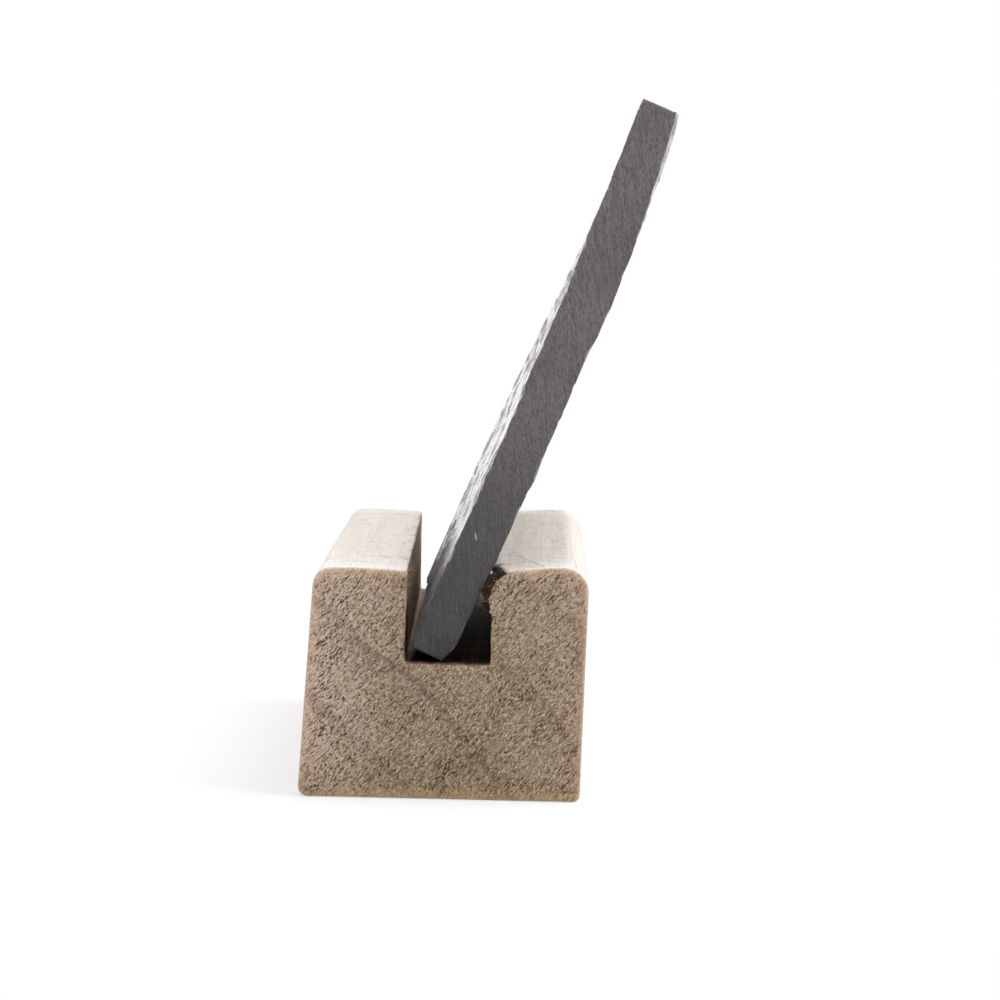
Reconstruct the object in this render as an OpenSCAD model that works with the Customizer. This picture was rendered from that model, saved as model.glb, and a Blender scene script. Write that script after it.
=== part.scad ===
// Place card holder. A slotted beech block carries a slate card, which stands in the slot by its
// own weight and leans back on the slot's right-hand lip.
// +Z is up, the slot runs along Y, and the end that faces -Y is the front end. The origin is the
// middle of the block's underside. Lengths are millimetres and angles are degrees.

/* [Block] */
// Length of the block, along its slot
block_l = 80; // [50:1:140]
// Width of the underside, before its corners are rounded
block_w = 28.4; // [24:0.2:44]
// Height of the top at the left side, before its corner is rounded
block_h = 23.1; // [19:0.1:36]
// How much higher the top stands at the right side than at the left
top_rise = 0.5; // [0:0.1:1.5]
// How far the left side leans in on its way up
left_lean_in = 1.3; // [0:0.1:2]
// How far the right side leans out on its way up
right_lean_out = 0.5; // [0:0.1:1.5]
// Radius of the top left corner
top_left_r = 1.8; // [1:0.1:3]
// Radius of the top right corner
top_right_r = 2.5; // [1:0.1:3.5]
// Radius of the bottom left corner
foot_left_r = 1; // [0.7:0.1:2]
// Radius of the bottom right corner
foot_right_r = 0.7; // [0.7:0.1:2]
// Radius that eases the edges of the two sawn ends
end_ease = 0.5; // [0.2:0.1:0.6]

/* [Slot] */
// Width of the slot between its walls
slot_w = 8.4; // [7:0.1:10]
// Depth of the slot below the top, at its right wall
slot_d = 9.7; // [7:0.1:13]
// How far the middle of the slot lies to the right of the middle of the block
slot_offset = 0.3; // [-1.5:0.1:1.5]
// How far the slot turns off the block's length, which brings its rear end to the left
slot_skew = 0.5; // [0:0.1:1]
// Radius of the worn lip on the right wall, which the card leans on
lip_r = 1.3; // [0.6:0.1:1.8]
// How far round that lip curves from the wall before it meets the top
lip_turn = 70; // [50:1:75]

/* [Card] */
// Length of the card, along the slot
card_l = 78; // [50:1:140]
// Height of the card, along its own face
card_h = 59.2; // [40:0.2:90]
// Thickness of the card between the planes that its split faces lie within
card_t = 4.6; // [3.2:0.1:5.6]
// How deep the bevel along the foot of the card's back cuts into the thickness
foot_bevel = 0.7; // [0.2:0.1:1]
// How far the same bevel reaches up the back
foot_bevel_h = 2; // [1:0.5:4]
// How much thinner the card's face is at its foot
foot_thinning = 0.4; // [0:0.1:0.6]
// How far up the face that thinning reaches
foot_thinning_h = 9; // [3:1:12]
// How much thinner the card is at its top
top_thinning = 1; // [0:0.1:1.4]
// How far down the card that thinning reaches
top_thinning_h = 15; // [5:1:20]
// How far the top corner at the front end bends towards the card's face
corner_bend = 2.6; // [0:0.1:4]
// Depth of the hollows that splitting left in the card's back
cleft_depth = 0.4; // [0.1:0.05:0.7]
// Spacing of the ridges between those hollows, up the card
cleft_rise = 32; // [20:1:50]
// Spacing of the same ridges along the card
cleft_run = 46; // [30:1:80]
// Depth of the shallower hollows in the card's face
ripple_depth = 0.2; // [0.05:0.05:0.4]
// How many strips a face is divided into up the card
strips_up = 18; // [8:1:24]
// How many strips a face is divided into along the card
strips_along = 18; // [8:1:24]

/* [Fit] */
// Clearance where the card rests on the slot's floor and on the lip
seat_gap = 0.1; // [0.05:0.01:0.2]
// Gap between the card's lower front edge and the slot's left wall
heel_gap = 0.45; // [0.1:0.05:0.8]

/* [Hidden] */
// How many flats a full turn of a rounded corner has, and how many the eased rim of an end has
corner_facets = 48;
ease_steps = 4;
// How many flats the lip's curve is worn into
lip_flats = 7;
// How far a cut runs past the surface that it opens
overrun = 2;
beech = [0.72, 0.62, 0.52];
slate = [0.27, 0.27, 0.28];

// How fast the corner's bend grows up the card, and how fast it fades towards the rear end
bend_up_power = 2.5;
bend_back_power = 1.3;

// The block's section, anticlockwise in X and Z from the bottom left, with a radius for each corner
block_corners = [
    [-block_w / 2, 0],
    [block_w / 2, 0],
    [block_w / 2 + right_lean_out, block_h + top_rise],
    [-block_w / 2 + left_lean_in, block_h]
];
corner_radii = [foot_left_r, foot_right_r, top_right_r, top_left_r];
corner_count = len(block_corners);

function corner(i) = block_corners[(i + corner_count) % corner_count];
// Direction of the side that leaves a corner, and the direction into the section from that side
function along_side(i) = (corner(i + 1) - corner(i)) / norm(corner(i + 1) - corner(i));
function inward(i) = [-along_side(i).y, along_side(i).x];
// Half of the angle inside the section at a corner, and the middle of the corner's rounding
function half_angle(i) = acos(-along_side(i) * along_side(i - 1)) / 2;
function arc_centre(i) =
    corner(i) + corner_radii[i] * (along_side(i) / tan(half_angle(i)) + inward(i));

// Height of the block's top at a place across it
function top_z(x) =
    block_h + top_rise * (x - corner(3).x) / (corner(2).x - corner(3).x);
// Where the lip's curve meets the top, and its middle, both as distances right of and above the
// middle of the slot's floor
lip_edge = [slot_w / 2 + lip_r * (1 - cos(lip_turn)), slot_d];
lip_centre = [slot_w / 2 + lip_r, slot_d - lip_r * sin(lip_turn)];
slot_floor = top_z(slot_offset + lip_edge.x) - slot_d;

// Rod along Y as long as the block, with eased rims, which fills one rounded corner of the section
module corner_rod(i) {
    r = corner_radii[i];
    rim = [
        for (step = [0:ease_steps])
            let (turn = 90 * step / ease_steps)
            [r, block_l / 2] - end_ease * [1 - sin(turn), 1 - cos(turn)]
    ];
    half = concat([[0, block_l / 2]], rim);
    translate([arc_centre(i).x, 0, arc_centre(i).y])
        rotate([90, 0, 0])
            rotate_extrude($fn = corner_facets)
                polygon(concat(half, [for (k = [len(half) - 1:-1:0]) [half[k].x, -half[k].y]]));
}

// Turns what is drawn in the slot's own frame, with the floor's middle at zero, into place
module in_slot() {
    translate([slot_offset, 0, slot_floor])
        rotate([0, 0, slot_skew])
            children();
}

// What the saw takes out, with the wood that has worn off the lip
module slot_cut() {
    cut_l = block_l + 2 * overrun;
    cut_h = slot_d + top_rise + overrun;
    lip_points = [
        for (i = [0:lip_flats])
            let (turn = lip_turn * i / lip_flats)
            lip_centre + lip_r * [-cos(turn), sin(turn)]
    ];
    outline = concat(
        [[-slot_w / 2, cut_h], [-slot_w / 2, 0], [slot_w / 2, 0]],
        lip_points,
        [[lip_edge.x, cut_h]]
    );
    in_slot()
        rotate([90, 0, 0])
            linear_extrude(cut_l, center = true)
                polygon(outline);
}

module wood_block() {
    color(beech)
        difference() {
            hull()
                for (i = [0:corner_count - 1])
                    corner_rod(i);
            slot_cut();
        }
}

// The card's lean. Its lower front edge stands heel_gap off the left wall, its lower back edge
// stands seat_gap off the floor, and its back passes the lip at seat_gap.
// The card's own axes are x across its thickness, from its back, and z up its face.
function foot_x(lean) = (card_t - foot_thinning) * cos(lean) + heel_gap - slot_w / 2;
function foot_z(lean) = seat_gap - foot_bevel * sin(lean);
// From the card's foot to the middle of the lip's curve
function to_lip(lean) = lip_centre - [foot_x(lean), foot_z(lean)];
function room_at_lip(lean) = to_lip(lean) * [cos(lean), -sin(lean)] - lip_r - seat_gap;
function find_lean(low, high, steps) =
    let (middle = (low + high) / 2)
    steps == 0 ? middle
    : room_at_lip(middle) > 0 ? find_lean(middle, high, steps - 1)
    : find_lean(low, middle, steps - 1);
steepest_lean = 60;
lean_halvings = 30;
lean = find_lean(0, steepest_lean, lean_halvings);
// How far up its back the card touches the lip
rest_h = to_lip(lean) * [sin(lean), cos(lean)];

// How hollow the back is at a height up the card and a place along it, from 0 on a ridge to 1.
// One ridge runs the card's whole length where the lip carries it.
function hollow(up, along) =
    let (
        above = up - rest_h,
        sway = above / cleft_rise * sin(360 * along / cleft_run)
    )
    (1 - cos(360 * (above / cleft_rise + sway * sway_share))) / 2;
// How much the ridges away from the lip sway as they run along the card
sway_share = 0.3;
// How hollow the face is, from 0 to 1, in waves that cross it aslant
function ripple(up, along) =
    (1 + sin(360 * (up / cleft_rise + along / cleft_run)) * cos(360 * along / cleft_run)) / 2;

// Smooth rise from 0 to 1 as a distance goes from 0 to a reach
function ease(distance, reach) = (1 - cos(180 * min(max(distance / reach, 0), 1))) / 2;
function bend(up, along) =
    corner_bend * pow(up / card_h, bend_up_power) * pow(max(1 - along / card_l, 0), bend_back_power);
function bevel(up) = foot_bevel * max(0, 1 - up / foot_bevel_h);
function foot_relief(up) = foot_thinning * (1 - ease(up, foot_thinning_h));
function top_relief(up) = top_thinning / 2 * ease(up - card_h + top_thinning_h, top_thinning_h);
// How far in from its own plane each of the two split faces lies
function face_relief(up, along) =
    max(foot_relief(up), top_relief(up), ripple_depth * ripple(up, along));
function back_relief(up, along) =
    max(bevel(up), top_relief(up), cleft_depth * hollow(up, along));

// The card's two split faces are grids of points, and its four sawn edges close them
module slate_card() {
    rises = [
        0,
        for (i = [0:strips_up - 1])
            foot_bevel_h + (card_h - foot_bevel_h) * i / (strips_up - 1)
    ];
    runs = [for (j = [0:strips_along]) card_l * j / strips_along];
    top = len(rises) - 1;
    rear = len(runs) - 1;
    points = [
        for (back = [0, 1])
            for (up = rises)
                for (along = runs)
                    [
                        (back == 0 ? face_relief(up, along) - card_t : -back_relief(up, along))
                            - bend(up, along),
                        along - card_l / 2,
                        up
                    ]
    ];
    function face(i, j) = i * len(runs) + j;
    function back(i, j) = face(i + len(rises), j);
    // Two triangles that fill the square between four points, in clockwise order from outside
    function square_of(a, b, c, d) = [[a, b, c], [a, c, d]];
    squares = concat(
        [for (i = [0:top - 1]) for (j = [0:rear - 1]) each concat(
            square_of(face(i, j), face(i, j + 1), face(i + 1, j + 1), face(i + 1, j)),
            square_of(back(i, j), back(i + 1, j), back(i + 1, j + 1), back(i, j + 1))
        )],
        [for (j = [0:rear - 1]) each concat(
            square_of(face(0, j + 1), face(0, j), back(0, j), back(0, j + 1)),
            square_of(face(top, j), face(top, j + 1), back(top, j + 1), back(top, j))
        )],
        [for (i = [0:top - 1]) each concat(
            square_of(face(i, 0), face(i + 1, 0), back(i + 1, 0), back(i, 0)),
            square_of(face(i + 1, rear), face(i, rear), back(i, rear), back(i + 1, rear))
        )]
    );
    color(slate)
        in_slot()
            translate([foot_x(lean), 0, foot_z(lean)])
                rotate([0, lean, 0])
                    polyhedron(points, squares);
}

wood_block();
slate_card();
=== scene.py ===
import bpy
import numpy as np
from mathutils import Matrix, Vector


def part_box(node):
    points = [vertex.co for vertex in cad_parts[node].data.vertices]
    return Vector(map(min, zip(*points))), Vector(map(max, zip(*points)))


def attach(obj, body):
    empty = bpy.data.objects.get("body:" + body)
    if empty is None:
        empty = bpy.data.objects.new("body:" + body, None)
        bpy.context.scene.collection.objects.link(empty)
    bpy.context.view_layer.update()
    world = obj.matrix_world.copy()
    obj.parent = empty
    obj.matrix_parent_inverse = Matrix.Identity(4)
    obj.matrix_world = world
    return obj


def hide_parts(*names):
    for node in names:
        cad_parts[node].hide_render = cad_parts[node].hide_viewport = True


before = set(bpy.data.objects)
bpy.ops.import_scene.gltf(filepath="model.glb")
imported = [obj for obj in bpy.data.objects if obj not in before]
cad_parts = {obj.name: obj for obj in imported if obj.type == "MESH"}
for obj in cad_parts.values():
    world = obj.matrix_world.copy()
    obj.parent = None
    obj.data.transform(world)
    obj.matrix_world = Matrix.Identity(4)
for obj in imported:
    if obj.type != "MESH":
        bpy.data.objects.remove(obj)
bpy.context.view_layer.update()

# Place card holder: a slotted beech block, and a slate card that stands in the slot and leans back.
# +Z is up, the slot runs along Y and the front end faces -Y. Sizes in the dictionaries are in
# millimetres, angles are in degrees, and meshes are made in millimetres and stored in metres.
# In the functions of a surface, s, g, r and n are its sizes, grid, relief and noises.
mm = 0.001
blockLow, blockHigh = (np.array(corner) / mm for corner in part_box("wood_block"))
print("frame loaded")


# Numbers and noise

def ease(distance, reach):
    # smooth rise from 0 to 1 as the distance goes from 0 to the reach: 3t^2 - 2t^3
    t = np.clip(distance / reach, 0, 1)
    return t * t * (3 - 2 * t)


def ramp(value, start, reach):
    # the same rise, from where the value passes the start
    return ease(value - start, reach)


def bump(distance, reach):
    # bell of height 1: e to the power of minus the square of distance over reach
    return np.exp(-(distance / reach) ** 2)


def blend(a, b, share):
    return a + (b - a) * share


def cellNoise(points, cell, seed):
    # random field from about -1 to 1: one random value at each corner of a lattice of cells, and
    # between them the eight nearest values in the shares 3t^2 - 2t^3 along each axis
    draw = np.random.default_rng(seed)
    count = 1024
    values = draw.uniform(-1, 1, count)
    order = draw.permutation(count)
    place = points / np.asarray(cell, float)
    base = np.floor(place).astype(int)
    share = ease(place - base, 1)
    total = np.zeros(points.shape[:-1])
    for corner in range(8):
        step = np.array([corner & 1, corner >> 1 & 1, corner >> 2 & 1])
        ix, iy, iz = np.moveaxis((base + step) % count, -1, 0)
        weight = np.where(step == 1, share, 1 - share).prod(-1)
        total += weight * values[order[(order[(order[ix] + iy) % count] + iz) % count]]
    return total


def roughNoise(points, cell, seed, octaves=4, fade=0.5):
    # sum of cell noises, each with cells half as wide as the one before and a share as strong
    return sum(
        fade ** octave * cellNoise(points, np.asarray(cell, float) / 2 ** octave, seed + octave)
        for octave in range(octaves)
    )


def levelOf(points, noise):
    # the same sum, moved to run from about 0 to 1. The noise is its cell, seed, octaves and fade
    return 0.5 + 0.5 * roughNoise(points, *noise)


# Paths in a section plane

def turned(vectors, angle):
    # anticlockwise by the angle: (x cos - y sin, x sin + y cos)
    return np.stack([
        vectors[..., 0] * np.cos(angle) - vectors[..., 1] * np.sin(angle),
        vectors[..., 0] * np.sin(angle) + vectors[..., 1] * np.cos(angle),
    ], -1)


def roundedPath(corners, radii, arcSteps=24):
    # straight lines through the corners, where each inner corner gives way to an arc of its radius
    # that touches both of its lines: the arc starts radius times tan(turn / 2) before the corner
    corners = np.array(corners, float)
    pieces = [corners[:1]]
    for before, at, after, radius in zip(corners, corners[1:], corners[2:], radii):
        goingIn = (at - before) / np.linalg.norm(at - before)
        goingOut = (after - at) / np.linalg.norm(after - at)
        turn = np.arctan2(goingIn[0] * goingOut[1] - goingIn[1] * goingOut[0], goingIn @ goingOut)
        toCentre = turned(goingIn, np.pi / 2) * np.sign(turn) * radius
        centre = at - goingIn * radius * np.tan(abs(turn) / 2) + toCentre
        pieces.append(centre + turned(-toCentre, np.linspace(0, turn, arcSteps)))
    pieces.append(corners[-1:])
    return np.vstack(pieces)


def runOf(path):
    # distance travelled along the path at each of its points
    return np.concatenate([[0], np.cumsum(np.linalg.norm(np.diff(path, axis=0), axis=1))])


def runNear(path, point):
    # distance travelled along the path where it passes nearest to a point
    fine = np.linspace(0, runOf(path)[-1], 4000)
    return fine[np.argmin(np.linalg.norm(alongPath(path, fine) - np.array(point, float), axis=1))]


def alongPath(path, run):
    return np.stack([np.interp(run, runOf(path), path[:, axis]) for axis in (0, 1)], -1)


# Meshes

weldGap = 0.0002             # points of a grid that lie closer than about this become one


def newObject(name, points, faces, fields, material):
    # mesh of triangles, with a value at each of its points for every field that its material reads
    faces = np.array(faces, np.int32)
    mesh = bpy.data.meshes.new(name)
    mesh.vertices.add(len(points))
    mesh.vertices.foreach_set("co", (np.array(points) * mm).astype(np.float32).ravel())
    mesh.loops.add(faces.size)
    mesh.loops.foreach_set("vertex_index", faces.ravel())
    mesh.polygons.add(len(faces))
    mesh.polygons.foreach_set("loop_start", np.arange(0, faces.size, 3, dtype=np.int32))
    mesh.polygons.foreach_set("loop_total", np.full(len(faces), 3, np.int32))
    mesh.update(calc_edges=True)
    mesh.shade_smooth()
    for key, values in fields.items():
        layer = mesh.attributes.new(key, "FLOAT", "POINT")
        layer.data.foreach_set("value", values.astype(np.float32))
    mesh.materials.append(material)
    made = bpy.data.objects.new(name, mesh)
    bpy.context.scene.collection.objects.link(made)
    print(name, "has", len(faces), "triangles")
    return made


def gridObject(name, grid, fields, material):
    # closed surface from rows of points that each run once round a loop. The first row and the last
    # are folded flat on themselves, so sample i there is the same point as sample count - 1 - i,
    # and each square between rows is two triangles. Points that lie together are one
    points = grid.reshape(-1, 3)
    places = np.round(points / weldGap).astype(int)
    first, index = np.unique(places, axis=0, return_index=True, return_inverse=True)[1:]
    index = first[index].reshape(grid.shape[:2])
    for row in (0, -1):
        index[row] = np.minimum(index[row], index[row, ::-1])
    a, b = index[:-1], index[1:]
    c, d = np.roll(b, -1, 1), np.roll(a, -1, 1)
    faces = np.concatenate([np.stack(corners, -1).reshape(-1, 3) for corners in ((a, b, c), (a, c, d))])
    pinched = (faces == np.roll(faces, 1, 1)).any(1)
    used, faces = np.unique(faces[~pinched], return_inverse=True)
    values = {key: np.broadcast_to(field, index.shape).ravel()[used] for key, field in fields.items()}
    return newObject(name, points[used], faces.reshape(-1, 3), values, material)


# Materials

def linear(hexColour):
    # sRGB hex to linear: c / 12.92 below 0.04045, and otherwise ((c + 0.055) / 1.055) to the 2.4
    shares = [int(hexColour[i:i + 2], 16) / 255 for i in (1, 3, 5)]
    return [c / 12.92 if c <= 0.04045 else ((c + 0.055) / 1.055) ** 2.4 for c in shares] + [1]


def addNode(tree, kind, inputs=(), gives=None, **settings):
    # inputs are a dictionary by socket name, or a list in the order of the sockets in use, and each
    # is a value or another node's output. Returns the output named, or else the first one in use
    node = tree.nodes.new("ShaderNode" + kind)
    for key, value in settings.items():
        setattr(node, key, value)
    if not isinstance(inputs, dict):
        inUse = [socket.identifier for socket in node.inputs if socket.enabled]
        inputs = dict(zip(inUse, inputs))
    sockets = {socket.identifier: socket for socket in reversed(node.inputs)}
    for key, value in inputs.items():
        socket = sockets[key] if key in sockets else node.inputs[key]
        if isinstance(value, bpy.types.NodeSocket):
            tree.links.new(value, socket)
        else:
            socket.default_value = value
    return node.outputs[gives] if gives else next((out for out in node.outputs if out.enabled), None)


def newMaterial(name):
    # an empty one, with its node tree
    material = bpy.data.materials.new(name)
    material.use_nodes = True
    material.node_tree.nodes.clear()
    return material, material.node_tree


def layPatterns(tree, patterns):
    # one noise for each pattern, whose blobs have the size of its cell in mm, on axes turned about
    # Y. A pushed pattern is raised by its share of the others, so it shows most where they are high
    place = addNode(tree, "TexCoord", gives="Object")
    levels = {}
    for key, (cell, turn, detail, pushes) in patterns.items():
        grid = addNode(tree, "Mapping", {
            "Vector": place, "Rotation": (0, np.radians(turn), 0),
            "Scale": [size * mm for size in cell]}, vector_type="TEXTURE")
        levels[key] = addNode(tree, "TexNoise", {"Vector": grid, "Scale": 1.0, "Detail": detail}, "Fac")
        for other, share in pushes.items():
            levels[key] = addNode(tree, "Math", [levels[other], share, levels[key]],
                                  operation="MULTIPLY_ADD")
    return place, levels


def layOn(tree, layers, levels, colour, height=0.0):
    # each layer covers what lies under it by its share, where its level passes from the first value
    # to the second, and raises the surface there by its rise in mm
    for key, start, full, share, paint, rise in layers:
        cover = addNode(tree, "MapRange", {
            "Value": levels[key], "From Min": start, "From Max": full, "To Max": share},
            interpolation_type="SMOOTHSTEP")
        colour = addNode(tree, "Mix", [cover, colour, linear(paint)], data_type="RGBA")
        if rise:
            height = addNode(tree, "Math", [cover, rise, height], operation="MULTIPLY_ADD")
    return colour, height


# Camera, from where the photograph's straight edges lie

cameraFacts = {
    "imageSize": 1000,             # pixels
    "sensor": 36,
    "focalPixels": 4020,
    "vanishingPoint": (537, 212),  # where the block's long edges meet, in pixels
    "footSlope": 0.0222,           # how far the front end's lower edge falls to the right
    "footPixel": (438, 800),       # where the middle of that edge lies
    "pixelsPerMm": 10,             # at the front end
    "clip": (10, 20000),           # nearest and farthest distance that it sees
}


def addCamera(facts):
    # +Y points at the vanishing point, +X follows the foot edge square to it, and +Z closes the
    # set, all as the camera sees them, with its own axes right, down and forward
    half = facts["imageSize"] / 2
    focal = facts["focalPixels"]
    acrossPixels, downPixels = np.array(facts["vanishingPoint"]) - half
    alongY = np.array([acrossPixels, downPixels, focal])
    alongY = alongY / np.linalg.norm(alongY)
    alongX = np.array([1, facts["footSlope"], -(acrossPixels + downPixels * facts["footSlope"]) / focal])
    alongX = alongX - alongX @ alongY * alongY
    alongX = alongX / np.linalg.norm(alongX)
    toCamera = np.column_stack([alongX, alongY, np.cross(alongX, alongY)])
    foot = np.array([*(np.array(facts["footPixel"]) - half), focal]) / facts["pixelsPerMm"]
    place = np.array([0, blockLow[1], 0]) - toCamera.T @ foot
    right, down, forward = toCamera
    camera = bpy.data.objects.new("camera", bpy.data.cameras.new("camera"))
    camera.data.sensor_width = facts["sensor"]
    camera.data.lens = facts["sensor"] * focal / facts["imageSize"]
    camera.data.clip_start, camera.data.clip_end = (distance * mm for distance in facts["clip"])
    turn = Matrix(np.column_stack([right, -down, -forward]).tolist()).to_4x4()
    camera.matrix_world = Matrix.Translation((place * mm).tolist()) @ turn
    bpy.context.scene.collection.objects.link(camera)
    bpy.context.scene.camera = camera


addCamera(cameraFacts)
print("camera placed")


# Light and floor

lightFacts = {
    "worldStrength": 0.6,       # what the surroundings give to surfaces
    "lampsFace": (0, 0, 25),    # the middle of the object
    "lamps": {                  # watts, size and place
        "top softbox": (1.02, 800, (30, -60, 560)),
        "left softbox": (0.5, 700, (-420, -60, 280)),
        "right softbox": (2.15, 560, (310, -20, 420)),
        "front softbox": (0.4, 500, (-180, -620, 330)),
        "backdrop glow": (1.4, 900, (0, 800, 150)),
    },
    "floorSize": 6000,
    "floorPaint": "#f4f3f2",
    "floorGlow": 0.55,          # how far the floor beside the object is pure white to the camera
    "shadowReach": (55, 150),   # beyond the second distance the floor is pure white to the camera
}


def seenDirectly(tree):
    # 1 for rays that come from the camera or off gloss or glass, and 0 for light on surfaces
    rays = [addNode(tree, "LightPath", gives=kind + " Ray")
            for kind in ("Is Camera", "Is Glossy", "Is Transmission")]
    seen = addNode(tree, "Math", rays[:2], operation="MAXIMUM")
    return addNode(tree, "Math", [seen, rays[2]], operation="MAXIMUM")


def addSoftbox(name, power, size, place, target):
    # square lamp that faces its target
    data = bpy.data.lights.new(name, "AREA")
    data.size = size * mm
    data.energy = power
    lamp = bpy.data.objects.new(name, data)
    towards = np.array(target) - np.array(place, float)
    lamp.location = [v * mm for v in place]
    lamp.rotation_euler = Vector(towards.tolist()).to_track_quat("-Z", "Y").to_euler()
    bpy.context.scene.collection.objects.link(lamp)


def addWorld(facts):
    # dim white to surfaces, and pure white where it is seen directly
    world = bpy.data.worlds.new("studio")
    bpy.context.scene.world = world
    world.use_nodes = True
    tree = world.node_tree
    tree.nodes.clear()
    strength = addNode(tree, "MapRange", {
        "Value": seenDirectly(tree), "To Min": facts["worldStrength"], "To Max": 1.0})
    glow = addNode(tree, "Background", {"Color": (1, 1, 1, 1), "Strength": strength})
    addNode(tree, "OutputWorld", {"Surface": glow})


def addFloor(facts):
    # white painted board. To the camera it turns to pure white away from the object, so that only
    # the soft shadow beside the object is left of it
    material, tree = newMaterial("white_painted_board")
    place = addNode(tree, "TexCoord", gives="Object")
    distance = addNode(tree, "VectorMath", [place], "Value", operation="LENGTH")
    near, far = facts["shadowReach"]
    fade = addNode(tree, "MapRange", {
        "Value": distance, "From Min": near * mm, "From Max": far * mm,
        "To Min": facts["floorGlow"], "To Max": 1.0}, interpolation_type="SMOOTHSTEP")
    share = addNode(tree, "Math", [fade, seenDirectly(tree)], operation="MULTIPLY")
    paint = addNode(tree, "BsdfDiffuse", {"Color": linear(facts["floorPaint"])})
    glow = addNode(tree, "Emission", {"Color": (1, 1, 1, 1), "Strength": 1.0})
    both = addNode(tree, "MixShader", [share, paint, glow])
    addNode(tree, "OutputMaterial", {"Surface": both})
    half = facts["floorSize"] / 2
    corners = [(-half, -half, 0), (half, -half, 0), (half, half, 0), (-half, half, 0)]
    floor = newObject("floor", corners, [(0, 1, 2), (0, 2, 3)], {}, material)


bpy.context.scene.view_settings.view_transform = "Standard"
addWorld(lightFacts)
for lampName, lamp in lightFacts["lamps"].items():
    addSoftbox(lampName, *lamp, lightFacts["lampsFace"])
addFloor(lightFacts)
print("light and floor set")


# The wooden block

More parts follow.
